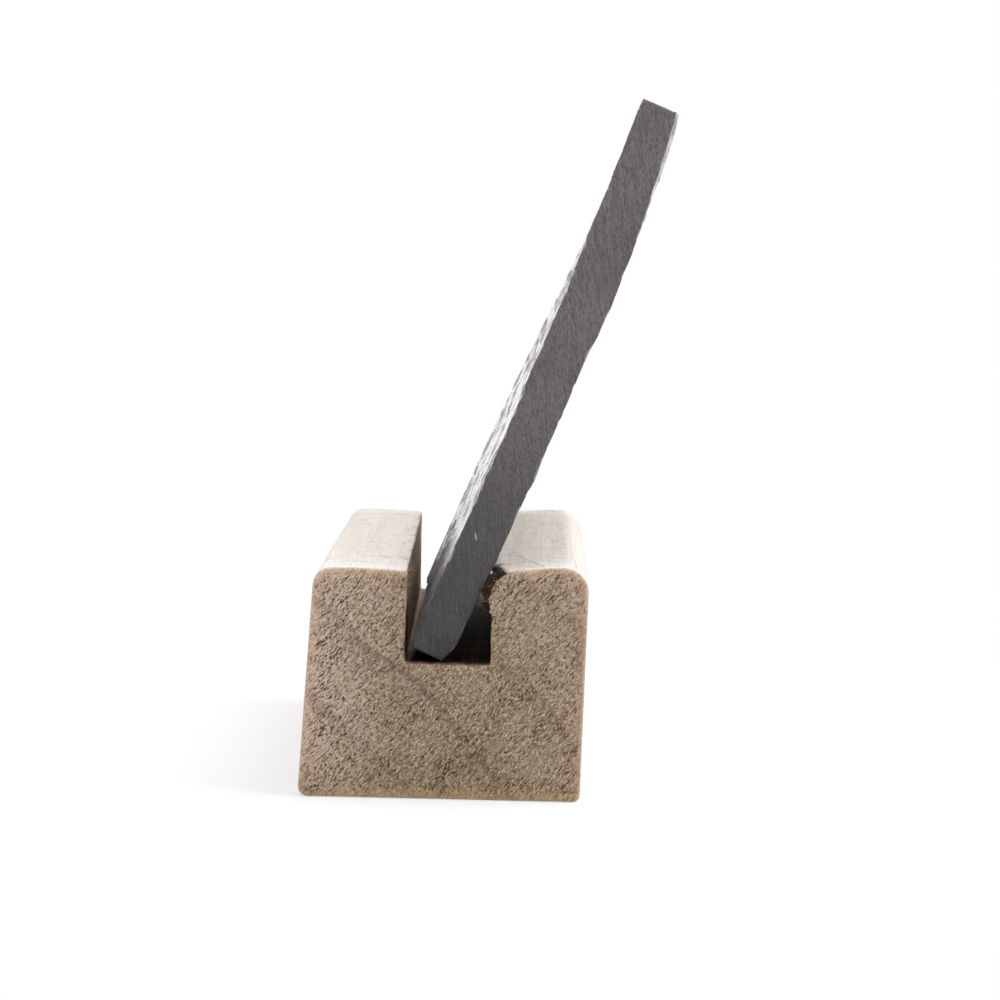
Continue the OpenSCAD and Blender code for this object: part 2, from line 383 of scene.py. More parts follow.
beechBlock = {
    "sizes": {
        "width": 28.4,
        "height": 23.1,          # of the top left corner, before it is rounded
        "topRise": 0.5,          # how much higher the top right corner is
        "leftLeanIn": 1.3,
        "rightLeanOut": 0.5,
        "topLeftRadius": 1.8,
        "topRightRadius": 2.5,
        "footLeftRadius": 1.0,
        "footRightRadius": 0.7,
        "endEase": 0.5,          # radius of the sanded edge round each end
        "slotEase": 0.07,        # the same where the saw left the slot's edges sharp
        "slotWidth": 8.4,
        "slotFloor": 13.73,      # height of the slot's floor
        "slotOffset": 0.3,
        "slotSkew": 0.5,
        "slotCornerRadius": 0.18,
        "slotEdgeRadius": 0.2,
        "leftEdgeHeight": 22.98,   # the top slopes a little down to the slot on both sides
        "lipHeight": 23.05,
        "lipRadius": 1.0,
        "leftMiddle": -8.4,        # middle of the left cheek
        "rightMiddle": 10.2,
        "cheekTop": (-0.9, 0.7),   # the cheeks' tops begin this far from the height, and how softly
        "skewReach": 3.5,          # the slot's turn fades within this distance of a cheek's middle
        "spineTop": 19.0,          # the end faces are filled in from the outline to this U
        "spineFoot": 6.9,
        "spineRadius": 3.0,
    },
    "grid": {
        "samples": 300,          # along each side of the U
        "rings": 34,
        "rimSteps": 4,
        "stations": 76,
        "stationDrift": 0.6,     # how far the stations crowd towards the ends
    },
    # random patterns in the relief: cell across, along and up, seed, octaves, how those fade
    "noises": {
        "torn": ((1.1, 6, 0.55), 11, 3, 0.6),    # a tuft's size along a ray, along the block and across
        "tornPatches": ((4, 30, 3), 17, 1),
        "endWave": ((9, 40, 9), 23, 2),
        "sideWave": ((12, 26, 12), 31, 2),
        "fibre": ((0.55, 14, 0.55), 37, 3),
        "planeWander": ((9, 20, 9), 41, 1),
        "slotSaw": ((0.7, 3.5, 1.2), 43, 3),
        "edgeChip": ((1.2, 1.6, 1.2), 45, 3, 0.6),
        "fray": ((0.6, 0.9, 0.5), 47, 3, 0.6),
        "ragged": ((0.5, 0.8, 0.5), 53, 3),
        "burrFuzz": ((0.4, 0.5, 0.3), 57, 2, 0.6),
        "stain": ((0.6, 3, 0.6), 59, 3),
    },
    "relief": {
        "grainTilt": 50,             # angle of the wood's rays in the end face
        "tornDepth": 0.05,
        "tornLevel": 0.45,           # middle depth of the tufts, as a share of that, and their range
        "tornRange": (0.05, 1.3),
        "tornPatches": 0.4,          # how much the patches change them
        "tornBesideSlot": 0.3,       # what is left of them at the slot's edge
        "endWave": 0.06,
        "sideWave": 0.06,
        "fibreDepth": 0.018,
        "planeMark": 3.6,            # spacing of the planer's marks
        "planeWander": 0.6,
        "planeDepth": 0.012,
        "slotSaw": 0.05,
        "edgeChip": 0.22,            # how deep the slot's upper left edge is chipped
        "chipStart": (0.15, 0.7),    # where the noise starts to chip it, and how softly
        "chipReach": 0.55,
        "lipInset": 0.3,             # the wear is deepest this far in from the slot's upper right edge
        "lipReach": 1.2,
        "lipWear": 0.3,
        "lipWearReach": 1.6,         # from the front end, as the next one is
        "lipFray": 0.2,
        "lipFrayReach": 5,
        "ragged": 0.12,              # how ragged the slot's walls are at the front end
        "raggedReach": 1.0,
        "flakeFade": 2,              # the flake is only to the right of the block's middle
        "flakeSlope": 0.15,
        "flakeStep": 0.02,
        "cardBack": (4.82, 22.78),   # where the card's back meets the lip at the front end
        "cardSlope": 0.49,           # how far that back moves to the left for each mm down
        "burrTop": (-0.25, 0.3),     # where the matted fibres start below that place, and how softly
        "burrFoot": (1.6, 1.7),      # where they end, and how softly
        "burrFront": (0.35, 0.5),    # the same along the block, from its front end
        "burrBack": (1.8, 3.2),
        "burrFloor": 15,
        "burrPast": 0.12,            # how far they reach past the line of the card's back
        "burrLength": 1.3,
        "burrFuzz": 0.1,
        "fadeInwards": 3,            # power by which the sides' relief fades into the end faces
        "calmInwards": 4,            # and by which the slot's calm edge does
    },
    # marks on the slot's right wall: depth, height, reach up the wall, reach in from the front end
    "wallMarks": [
        (0.22, 18.35, 0.3, 0.9),     # notch
        (-0.2, 19.0, 0.16, 0.5),     # splinter
        (-0.08, 16.6, 0.5, 1.2),
        (-0.27, 20.1, 0.95, 3),      # swelling below the worn lip
    ],
    # where the saw's heat browned the slot, with painted shade under the lip, in the wedge beside the
    # card and low in the slot's foot. Its reaches along the block are from the front end
    "heatAndShade": {
        "lip": (3, 6.5),             # middle and reach along the lip
        "wallShare": 1.5,            # how much stronger it is on the wall than on the cheek's top
        "patches": 0.4,
        "burrDepth": 0.06,           # fibres that stand out by this much are fully dark, as burn and painted shade
        "foot": (6, 6),              # middle and reach along the slot's foot
        "footTop": 20.5,             # the painted shade in the slot's foot fades out up to here
        "footFade": 3,
        "footShare": 0.9,
        "endReach": 2.1,             # on the front end face, from the lip
        "endRim": 0.36,              # and in from the slot's edge
        "endShare": 1.2,
        "endPatches": 0.8,
        "slotDarkens": 9,             # the walls are painted fully dark this far down the slot, as painted shade with some saw burn
        "chipBrown": 0.8,
    },
    "stainPatches": (0.75, 0.5),   # middle of the stains' strength, and how the noise changes it
    "endPower": 0.8,             # brings the end's colours a little way round its rim
    "beyondRim": 5,              # a distance from the end's edge at which nothing is sanded
    # torn line on the right cheek: distance from the block's middle, and from its front end
    "flakeLine": [
        (12.6, 2.2), (11.0, 2.6), (9.8, 2.9), (9.0, 8.4), (8.2, 11.9), (7.6, 16.5),
    ],
    # dark stains on the front end face: place across and up, radius, strength
    "endStains": [
        (6.9, 2.2, 0.5, 0.9), (5.9, 3.1, 0.3, 0.5), (11.5, 8.6, 0.3, 0.9), (11.6, 7.1, 0.28, 0.8),
        (-10.0, 8.1, 0.42, 0.6), (-7.2, 4.8, 0.35, 0.7), (-4.9, 2.6, 0.32, 1.0), (-12.0, 8.8, 0.3, 0.5),
        (12.2, 21.4, 1.0, 0.5), (10.9, 22.0, 0.8, 0.45), (-10.7, 18.2, 0.8, 0.25), (1.0, 11.0, 0.5, 0.3),
    ],
}


def slotWalls(s):
    return s["slotOffset"] - s["slotWidth"] / 2, s["slotOffset"] + s["slotWidth"] / 2


def blockOutline(s):
    # two paths from the middle of the left cheek's top to the middle of the right cheek's top: one
    # round the outside, and one through the slot
    left, right = -s["width"] / 2, s["width"] / 2
    slotLeft, slotRight = slotWalls(s)
    topLeft = (left + s["leftLeanIn"], s["height"])
    topRight = (right + s["rightLeanOut"], s["height"] + s["topRise"])
    slope = s["topRise"] / (topRight[0] - topLeft[0])
    leftTop = (s["leftMiddle"], s["height"] + slope * (s["leftMiddle"] - topLeft[0]))
    rightTop = (s["rightMiddle"], s["height"] + slope * (s["rightMiddle"] - topLeft[0]))
    outside = roundedPath(
        [leftTop, topLeft, (left, 0), (right, 0), topRight, rightTop],
        [s["topLeftRadius"], s["footLeftRadius"], s["footRightRadius"], s["topRightRadius"]])
    inside = roundedPath(
        [leftTop, (slotLeft, s["leftEdgeHeight"]), (slotLeft, s["slotFloor"]),
         (slotRight, s["slotFloor"]), (slotRight, s["lipHeight"]), rightTop],
        [s["slotEdgeRadius"], s["slotCornerRadius"], s["slotCornerRadius"], s["lipRadius"]])
    return outside, inside


def matchedSamples(s, count):
    # the same number of samples on the outside, the inside and the U between them. Corners of the
    # three that belong together get the same share, and the shares between run evenly
    paths = blockOutline(s)
    left, right = s["leftMiddle"], s["rightMiddle"]
    foot, top, bend = s["spineFoot"], s["spineTop"], s["spineRadius"]
    paths += (roundedPath([(left, top), (left, foot), (right, foot), (right, top)], [bend, bend]),)
    half, floor = s["width"] / 2, s["slotFloor"]
    slotLeft, slotRight = slotWalls(s)
    # places on the three, from the left wall round to the right, set by the U's height and bend
    matches = [
        ((-half, top), (slotLeft, top + bend / 2), (left, top - bend / 8)),
        ((-half, foot + bend), (slotLeft, floor + bend), (left, foot + bend)),
        ((-half, 0), (slotLeft, floor), (left + bend / 3, foot + bend / 3)),
        ((left + bend, 0), (slotLeft + bend, floor), (left + bend, foot)),
        ((right - bend, 0), (slotRight - bend, floor), (right - bend, foot)),
        ((half, 0), (slotRight, floor), (right - bend / 3, foot + bend / 3)),
        ((half, foot + bend), (slotRight, floor + bend), (right, foot + bend)),
        ((half, top), (slotRight, top + bend / 2), (right, top - bend / 8)),
    ]
    runs = [
        np.array([0, *(runNear(path, match[k]) for match in matches), runOf(path)[-1]])
        for k, path in enumerate(paths)
    ]
    share = (runs[0] / runs[0][-1] + runs[1] / runs[1][-1]) / 2
    wanted = (np.arange(count) + 0.5) / count
    return [alongPath(path, np.interp(wanted, share, run)) for path, run in zip(paths, runs)]


def normalsOf(loop):
    # across the line between each sample's neighbours, to the right of the way round
    step = np.roll(loop, -1, 0) - np.roll(loop, 1, 0)
    step = step / np.linalg.norm(step, axis=1, keepdims=True)
    return np.stack([step[:, 1], -step[:, 0]], -1)


def endGrain(points, r, n):
    # depth of the end faces: tufts torn up by the saw, which lie along the rays and are deeper in
    # patches, on slow waves
    x, y, z = np.moveaxis(points, -1, 0)
    tilt = np.radians(r["grainTilt"])
    alongRay = x * np.cos(tilt) + z * np.sin(tilt)
    acrossRay = z * np.cos(tilt) - x * np.sin(tilt)
    grain = np.stack([alongRay, y, acrossRay], -1)
    patches = 1 - r["tornPatches"] + r["tornPatches"] * roughNoise(grain, *n["tornPatches"])
    torn = r["tornLevel"] + 0.5 * roughNoise(grain, *n["torn"]) * patches
    waves = np.clip(levelOf(points, n["endWave"]), 0, 1)
    return r["tornDepth"] * np.clip(torn, *r["tornRange"]) + r["endWave"] * waves


def longGrain(points, cut, r, n):
    # depth of the long faces: slow waves, fibres that run along the block, and the planer's marks
    # across it, as a cosine, or the saw's marks in the slot
    wander = r["planeWander"] * roughNoise(points, *n["planeWander"])
    planer = 2 * np.pi * (points[..., 1] + wander) / r["planeMark"]
    sink = r["sideWave"] * np.clip(levelOf(points, n["sideWave"]), 0, 1)
    sink += r["fibreDepth"] * levelOf(points, n["fibre"])
    sink += r["planeDepth"] * (0.5 - 0.5 * np.cos(planer)) * (1 - cut)
    return sink + cut * r["slotSaw"] * levelOf(points, n["slotSaw"])


def patchy(amount, level):
    # about 1, and by half of the amount more or less where the level is high or low
    return 1 - amount / 2 + amount * level


def blockSurface(piece):
    # rows go from the U inside the front end face out to its rim, round the rim, along the block to
    # the rear rim and in to the rear U. A row's point is the outline, moved in by the rim's quarter
    # circle and then a share of the way to the U, and then sunk along the surface's own normal
    s, g, r, n, heatAndShade = (piece[part] for part in ("sizes", "grid", "relief", "noises", "heatAndShade"))
    outside, inside, spine = matchedSamples(s, g["samples"])
    loop = np.vstack([outside, inside[::-1]])
    loopX, loopZ = loop.T
    spine = np.vstack([spine, spine[::-1]])
    normal = normalsOf(loop)
    slotLeft, slotRight = slotWalls(s)
    inner = np.concatenate([np.zeros(len(outside)), np.ones(len(inside))])
    high = ramp(loopZ - s["height"], *s["cheekTop"])         # on the tops of the cheeks
    cut = inner * (1 - high)                                 # in the slot
    rim = blend(s["endEase"], s["slotEase"], cut)
    middleGap = np.where(loopX > 0, s["rightMiddle"] - loopX, loopX - s["leftMiddle"])
    skewed = inner * ease(middleGap, s["skewReach"]) * np.tan(np.radians(s["slotSkew"]))

    fill = np.linspace(1, 0, g["rings"] + 1)
    quarter = np.linspace(np.pi / 2, 0, g["rimSteps"] + 1)[1:]
    even = np.linspace(-1, 1, g["stations"] + 2)[1:-1]
    station = blend(even, np.sin(even * np.pi / 2), g["stationDrift"])
    upright = np.full_like(fill, np.pi / 2)
    atEnd = np.ones(len(fill) + len(quarter))
    towards = np.concatenate([fill, 0 * quarter, 0 * station, 0 * quarter, fill[::-1]])[:, None]
    slant = np.concatenate([upright, quarter, 0 * station, quarter[::-1], upright])[:, None]
    share = np.concatenate([-atEnd, station, atEnd])[:, None]
    end = np.sign(share) * (np.abs(share) == 1)
    reach = (blockHigh[1] - blockLow[1]) / 2
    inset = rim * (1 - np.cos(slant))
    y = share * (reach - rim) + end * rim * np.sin(slant)
    x = blend(loopX - normal[:, 0] * inset, spine[:, 0], towards) - skewed * y * (1 - towards)
    z = blend(loopZ - normal[:, 1] * inset, spine[:, 1], towards)
    points = np.stack([x, y, z], -1)
    endFace = np.broadcast_to(np.sin(slant), x.shape)
    frontGap = y - blockLow[1]

    # the lip is worn down and frayed near the front end, where the card rocks on it
    lipPlace = (slotRight + r["lipInset"], s["lipHeight"] - r["lipInset"])
    lipGap = np.hypot(loopX - lipPlace[0], loopZ - lipPlace[1])
    lip = inner * bump(lipGap, r["lipReach"])
    fray = levelOf(points, n["fray"])
    wear = r["lipWear"] * bump(frontGap, r["lipWearReach"])
    wear += r["lipFray"] * fray * bump(frontGap, r["lipFrayReach"])
    sink = longGrain(points, cut, r, n) + lip * wear
    # the slot's walls are ragged at the front end, and the right one has marks of its own
    sink += cut * r["ragged"] * levelOf(points, n["ragged"]) * bump(frontGap, r["raggedReach"])
    for depth, height, upReach, inReach in piece["wallMarks"]:
        sink += cut * (loopX > 0) * depth * bump(z - height, upReach) * bump(frontGap, inReach)
    # the slot's upper left edge is chipped along its whole length
    edgeGap = np.hypot(loopX - slotLeft, loopZ - s["leftEdgeHeight"])
    chipNoise = roughNoise(points, *n["edgeChip"])
    chipped = ramp(chipNoise, *r["chipStart"]) * inner * bump(edgeGap, r["chipReach"])
    # a sliver is torn off the right cheek, from the lip to the flake line
    flake = inner * ease(loopX, r["flakeFade"]) * flakeDistance(x, frontGap, piece["flakeLine"])
    lifted = ease(flake, r["flakeSlope"]) * (1 - cut) * (1 - endFace)
    sink += r["edgeChip"] * chipped + r["flakeStep"] * (1 - lifted) * (flake != 0)
    # scorched fibres that the saw left matted under the lip fill the wedge beside the card; their dark
    # colour is partly painted shade of that wedge
    below = r["cardBack"][1] - z
    hanging = ramp(below, *r["burrTop"]) * (1 - ramp(below, *r["burrFoot"]))
    matted = ramp(frontGap, *r["burrFront"]) * (1 - ramp(frontGap, *r["burrBack"]))
    burr = inner * (loopX > 0) * (z > r["burrFloor"]) * hanging * matted
    burr = burr * (1 - towards) ** r["fadeInwards"]

    # the outline takes the sides' relief with it, and the end faces sink along the block
    endSink = endGrain(points, r, n)
    endSink *= 1 - (1 - r["tornBesideSlot"]) * cut * (1 - towards) ** r["calmInwards"]
    aside = sink * (1 - towards) ** r["fadeInwards"]
    points[..., 0] -= normal[:, 0] * aside
    points[..., 1] -= end * endFace * endSink
    points[..., 2] -= normal[:, 1] * aside
    backOfCard = r["cardBack"][0] - below * r["cardSlope"] - r["burrPast"]
    fuzz = 1 - r["burrFuzz"] + r["burrFuzz"] * roughNoise(points, *n["burrFuzz"])
    points[..., 0] -= burr * fuzz * np.clip(points[..., 0] - backOfCard, 0, r["burrLength"])

    # the wood is darkened along the lip and on the matted fibres, in the slot's foot some way in from
    # the front end, and on that end's face round the lip: saw burn with painted shade of the crevice
    # beside the card at the lip, and painted shade alone in the slot's foot
    middle, lipRun = heatAndShade["lip"]
    lipBurnAndShade = lip * bump(frontGap - middle, lipRun) * blend(heatAndShade["wallShare"], 1, high)
    lipBurnAndShade = lipBurnAndShade * patchy(heatAndShade["patches"], fray)
    middle, footRun = heatAndShade["foot"]
    footShade = cut * ease(heatAndShade["footTop"] - z, heatAndShade["footFade"]) * bump(frontGap - middle, footRun)
    sidesBurnAndShade = lipBurnAndShade + ease(burr, heatAndShade["burrDepth"]) + heatAndShade["footShare"] * footShade
    inPlane = np.hypot(x - loopX, z - loopZ) * endFace
    endBurnAndShade = (end < 0) * inner * bump(lipGap, heatAndShade["endReach"]) * endFace * heatAndShade["endShare"]
    endBurnAndShade = endBurnAndShade * bump(inPlane, heatAndShade["endRim"]) * patchy(heatAndShade["endPatches"], fray)
    stain = sum(
        strength * bump(np.hypot(x - across, z - up), radius)
        for across, up, radius, strength in piece["endStains"])
    stainMiddle, stainChange = piece["stainPatches"]
    rimGap = np.clip(inPlane - rim, 0, None) + (1 - endFace) * (reach - np.abs(y) - rim).clip(0)
    return points, {
        "endFace": endFace ** piece["endPower"],
        "rimGap": rimGap + piece["beyondRim"] * cut,
        "slotCut": np.maximum(cut + 0 * x, heatAndShade["chipBrown"] * chipped),
        # painted shade with some saw burn: the slot's walls darken with depth below the left edge
        "slotDepth": cut * ease(s["leftEdgeHeight"] - points[..., 2], heatAndShade["slotDarkens"]),
        "burnAndShade": blend(np.clip(sidesBurnAndShade, 0, 1), endBurnAndShade, endFace),
        "stain": stain * (end < 0) * (stainMiddle + stainChange * roughNoise(points, *n["stain"])),
        "flake": np.where((flake != 0) & (endFace < 1), flake, 1),
    }


def flakeDistance(x, frontGap, flakeLine):
    # signed distance to the nearest stretch of the flake line, above zero on its right
    line = np.array(flakeLine, float)
    nearest = np.full(x.shape, 1e3)
    signed = np.full(x.shape, 1e3)
    for start, stop in zip(line[:-1], line[1:]):
        along = (stop - start) / np.linalg.norm(stop - start)
        dx, dy = x - start[0], frontGap - start[1]
        run = np.clip(dx * along[0] + dy * along[1], 0, np.linalg.norm(stop - start))
        gap = np.hypot(dx - run * along[0], dy - run * along[1])
        side = np.sign(dx * along[1] - dy * along[0])
        signed = np.where(gap < nearest, gap * side, signed)
        nearest = np.minimum(gap, nearest)
    return signed


# Beech, sawn to length and planed along its sides, raw: pale long grain with brown flecks, end grain
# that is darker and greyer with torn pores in rows along the rays, and a slot that the saw browned at
# its lip and that darkens with depth as painted shade. Other painted light and shade is marked below
beechPatterns = {
    # cell in mm, turn in degrees, detail, and what pushes it
    "cloud": ((11, 60, 8), 0, 2, {}),
    "patch": ((5, 60, 3.2), -50, 2, {}),
    "row": ((3.5, 30, 0.34), -50, 1.5, {}),
    "streak": ((1.8, 20, 0.16), -50, 1.5, {}),
    "speck": ((0.3, 1.5, 0.115), -50, 1, {}),
    "pit": ((0.42, 7, 0.13), -50, 1, {"patch": 0.25, "row": 0.35}),
    "tear": ((0.9, 9, 0.34), -50, 2.5, {"patch": 0.3}),
    "band": ((3.2, 90, 3.2), 0, 2, {}),
    "fibre": ((0.32, 18, 0.32), 0, 3, {}),
    "planer": ((14, 1.6, 14), 0, 2, {}),
    "smear": ((1.7, 3.5, 1.7), 0, 2, {}),
    "fleck": ((0.35, 2.4, 0.35), 0, 1, {}),
    "sawLine": ((0.5, 12, 0.28), 0, 3, {}),
    "crossMark": ((9, 1.5, 9), 0, 4, {}),
    "edge": ((1.3, 2.5, 1.3), 0, 3, {}),
}
# each layer: level, where it starts, where it is full, how much it covers, its colour, its rise
endLayers = [
    ("cloud", 0.42, 0.64, 0.3, "#837260", 0),
    ("patch", 0.44, 0.3, 0.45, "#988c80", 0),
    # painted light: the end face is paler towards the left and the top; it is also a little paler on the
    # right and yellower at the foot
    ("x", -3 * mm, -12 * mm, 0.8, "#c0ab9b", 0),
    ("x", 4 * mm, 12 * mm, 0.4, "#a8947f", 0),
    ("z", 15 * mm, 23 * mm, 0.4, "#b59e8c", 0),
    ("z", 7 * mm, 0, 0.4, "#8f7d58", 0),
    ("ring", 0.5, 0.96, 0.25, "#7a6654", 0),
    ("streak", 0.52, 0.3, 0.5, "#6b5747", -0.012),
    ("streak", 0.54, 0.74, 0.45, "#b5a38f", 0.012),
    ("speck", 0.5, 0.32, 0.74, "#614837", -0.014),
    ("speck", 0.54, 0.7, 0.6, "#c9b8a5", 0.012),
    ("tear", 0.84, 0.96, 0.25, "#66513f", -0.03),
    ("pit", 0.915, 0.98, 0.88, "#402818", -0.06),
    ("ring", 0.86, 0.93, 0.12, "#55473b", 0),
    ("ringLine", 0.2, 0.13, 0.24, "#54463a", 0),
    ("stain", 0.1, 0.9, 0.75, "#54443a", 0),
]
longLayers = [
    ("band", 0.4, 0.68, 0.5, "#d9cec5", 0),
    ("ring", 0.6, 0.97, 0.3, "#d0c3b8", 0),
    ("fibre", 0.44, 0.72, 0.5, "#cdc0b5", -0.012),
    ("planer", 0.5, 0.68, 0.45, "#d0c6bd", -0.01),
    # painted shade: the long grain darkens down the sides below the cheeks' tops, which are painted near
    # white
    ("z", 23.4 * mm, 19.5 * mm, 0.7, "#a8907a", 0),
    # painted shade: the long grain darkens towards the rear end
    ("y", -28 * mm, 40 * mm, 0.3, "#c6b6a8", 0),
    ("smear", 0.6, 0.74, 0.45, "#a8917f", 0),
    ("fleck", 0.64, 0.72, 0.48, "#967c67", -0.01),
    ("flake", 0.02, 0.3, 0.2, "#f2eeea", 0),
    ("flakeLine", 0.16, 0.04, 0.4, "#a2958b", -0.02),
]
slotLayers = [
    # painted shade with some saw burn: the slot turns dark brown with depth
    ("slotDepth", 0.1, 0.9, 0.8, "#8a6248", 0),
    ("sawLine", 0.48, 0.34, 0.55, "#4a301e", -0.03),
    ("sawLine", 0.54, 0.68, 0.4, "#c4a68c", 0.02),
    ("crossMark", 0.5, 0.38, 0.42, "#4e3422", -0.03),
    ("crossMark", 0.54, 0.68, 0.35, "#cbae93", 0.03),
    # painted light: the slot is paler towards its rear end, where light comes in from behind
    ("y", 5 * mm, 36 * mm, 0.6, "#ddd0c6", 0),
    # painted shade: the slot's walls darken towards its floor
    ("z", 20 * mm, 15 * mm, 0.4, "#5f3d25", 0),
]
scorchLayers = [
    ("speck", 0.52, 0.34, 0.7, "#150e09", 0),
    ("streak", 0.5, 0.66, 0.6, "#6e5238", 0),
]
rimLayers = [
    # painted light and shade: the sanded strip is paler on the left and darker on the right; it is
    # warmer at the foot
    ("x", -8 * mm, -13 * mm, 1.0, "#c6a892", 0),
    ("x", 9 * mm, 14 * mm, 1.0, "#a88a72", 0),
    ("z", 2 * mm, 0.4 * mm, 1.0, "#b89c76", 0),
]
beechLook = {
    "end": "#8f7e69",
    # painted light: near white, as the cheeks' tops look in strong light; the sides are darkened again
    # below
    "long": "#f1ebe5",
    "slot": "#c4af9c",
    "rim": "#b69b78",
    "rimSanded": 0.38,       # how far the sanded edge hides the torn grain
    "rimStrip": (1.3, 0.5),  # distances from the edge where the sanded strip starts and is full
    "rimRagged": 1.2,        # how ragged the strip is
    "scorchAndShade": "#2e2019",
    "scorchSpan": (0.75, 1.2),   # how strong the burn and painted shade have to be to show, and to hide the wood
    "ringSpacing": 7.8,
    "ringWander": 0.35,
    "ringLine": 0.05,        # one line lies this far before a ring's start, in rings
    "ringLinePatches": 0.3,
    "pith": (-85, 0, -78),   # the tree's middle, far below on the left
    "ringPhase": 15.81,      # in rings, so that one ring lies 122 mm from the pith
    "ringStretch": 1000,     # metres along the block, so that only the way across it counts
    "roughness": 0.78,
    "slotRoughness": 0.63,   # burnished by the saw
    "specular": 0.12,
}


def beechMaterial(look):
    # end grain, long grain and sawn slot, shared out by the mesh's own fields, under the scorch
    material, tree = newMaterial("raw_sawn_beech")
    place, levels = layPatterns(tree, beechPatterns)
    for field in ("endFace", "rimGap", "slotCut", "slotDepth", "burnAndShade", "stain", "flake"):
        levels[field] = addNode(tree, "Attribute", gives="Fac", attribute_name=field)
    for axis in "xyz":
        levels[axis] = addNode(tree, "SeparateXYZ", [place], axis.upper())
    # growth rings: the distance from the pith, counted in rings, with a little wander
    spacing = look["ringSpacing"] * mm
    fromPith = addNode(tree, "Mapping", {
        "Vector": place, "Location": [v * mm for v in look["pith"]],
        "Scale": (spacing, look["ringStretch"], spacing)}, vector_type="TEXTURE")
    rings = addNode(tree, "VectorMath", [fromPith], "Value", operation="LENGTH")
    rings = addNode(tree, "Math", [levels["cloud"], look["ringWander"], rings], operation="MULTIPLY_ADD")
    rings = addNode(tree, "Math", [rings, look["ringPhase"]], operation="SUBTRACT")
    levels["ring"] = addNode(tree, "Math", [rings], operation="FRACT")
    # one late-wood line is a little darker than the others, in patches
    fromLine = addNode(tree, "Math", [rings, look["ringLine"]], operation="ADD")
    fromLine = addNode(tree, "Math", [fromLine], operation="ABSOLUTE")
    levels["ringLine"] = addNode(
        tree, "Math", [levels["patch"], look["ringLinePatches"], fromLine], operation="MULTIPLY_ADD")
    levels["flakeLine"] = addNode(tree, "Math", [levels["flake"]], operation="ABSOLUTE")

    # the eased edge round each end keeps a soft, uneven strip of cleaner wood under the grain
    rimColour = layOn(tree, rimLayers, levels, linear(look["rim"]))[0]
    raggedGap = addNode(
        tree, "Math", [levels["edge"], look["rimRagged"], levels["rimGap"]], operation="MULTIPLY_ADD")
    rim = addNode(tree, "MapRange", {
        "Value": raggedGap, "From Min": look["rimStrip"][0], "From Max": look["rimStrip"][1]},
        interpolation_type="SMOOTHSTEP")
    endColour = addNode(tree, "Mix", [rim, linear(look["end"]), rimColour], data_type="RGBA")
    endColour, endHeight = layOn(tree, endLayers, levels, endColour)
    sanded = addNode(tree, "Math", [rim, look["rimSanded"]], operation="MULTIPLY")
    endColour = addNode(tree, "Mix", [sanded, endColour, rimColour], data_type="RGBA")
    longColour, longHeight = layOn(tree, longLayers, levels, linear(look["long"]))
    slotColour, slotHeight = layOn(tree, slotLayers, levels, linear(look["slot"]))
    colour = addNode(tree, "Mix", [levels["slotCut"], longColour, slotColour], data_type="RGBA")
    colour = addNode(tree, "Mix", [levels["endFace"], colour, endColour], data_type="RGBA")
    height = addNode(tree, "Mix", [levels["slotCut"], longHeight, slotHeight])
    height = addNode(tree, "Mix", [levels["endFace"], height, endHeight])
    # dark where the saw's heat browned the lip, and painted shade beside the card and in the slot's foot
    raggedDarkening = addNode(tree, "Math", [levels["edge"], levels["burnAndShade"]], operation="ADD")
    darkened = addNode(tree, "MapRange", {
        "Value": raggedDarkening, "From Min": look["scorchSpan"][0], "From Max": look["scorchSpan"][1]},
        interpolation_type="SMOOTHSTEP")
    scorchedAndShaded = layOn(tree, scorchLayers, levels, linear(look["scorchAndShade"]))[0]
    colour = addNode(tree, "Mix", [darkened, colour, scorchedAndShaded], data_type="RGBA")

    relief = addNode(tree, "Bump", {"Height": height, "Distance": mm, "Strength": 1.0})
    roughness = addNode(tree, "MapRange", {
        "Value": levels["slotCut"], "To Min": look["roughness"], "To Max": look["slotRoughness"]})
    shader = addNode(tree, "BsdfPrincipled", {
        "Base Color": colour, "Roughness": roughness, "Normal": relief,
        "Specular IOR Level": look["specular"]})
    addNode(tree, "OutputMaterial", {"Surface": shader})
    return material


blockPoints, blockFields = blockSurface(beechBlock)
block = gridObject("beech_block", blockPoints, blockFields, beechMaterial(beechLook))
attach(block, "block")
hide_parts("wood_block")
print("block made")


# Scorched fibres at the front end, which hang from the worn lip against the card and are partly
# painted shade there, and a few pale ones that the saw raised on the slot's left edge

fibreFacts = {
    "steps": 7,
    "sides": 3,
    "lip": {
        "seed": 91,
        "count": 340,
        "roots": [(6.3, 22.95), (5.45, 22.15), (5.0, 21.1), (4.7, 20.1), (4.75, 19.0)],
        "reach": 2.0,           # how far back from the front end they start
        "length": (0.4, 1.3),
        "thickness": (0.04, 0.09),
        "heading": (130, 250),  # degrees in the end view, where 180 points at the card
        "paleShare": 0.4,
        "paleBurn": (0.4, 0.8),
    },
    "leftEdge": {
        "seed": 92,
        "count": 16,
        "roots": [(-3.55, 22.9), (-3.55, 20.6)],
        "reach": 7,
        "length": (0.4, 1.2),
        "thickness": (0.025, 0.05),
        "heading": (-60, 60),
        "paleShare": 1.0,
        "paleBurn": (0, 0),
    },
    "curl": 0.55,               # how far a fibre's tip strays, as a share of its length
    "lean": 0.35,               # how far it heads along the block
    "tip": 0.1,                 # its tip's thickness, as a share of its root's
    "frontGap": 0.1,            # how far in from the front end the first ones start
    "rooted": 0.12,             # how deep they start inside the wood
    "room": 0.75,               # how much of the way to the card's back they may fill
    "slowest": 0.05,            # one that nears the card by less of its length counts as this
    "sidewards": (0.3, 0.9, 0.31),   # a fibre's sides are square to it and to this
    "inset": 0.02,              # no fibre comes nearer to the plane of the front end
}


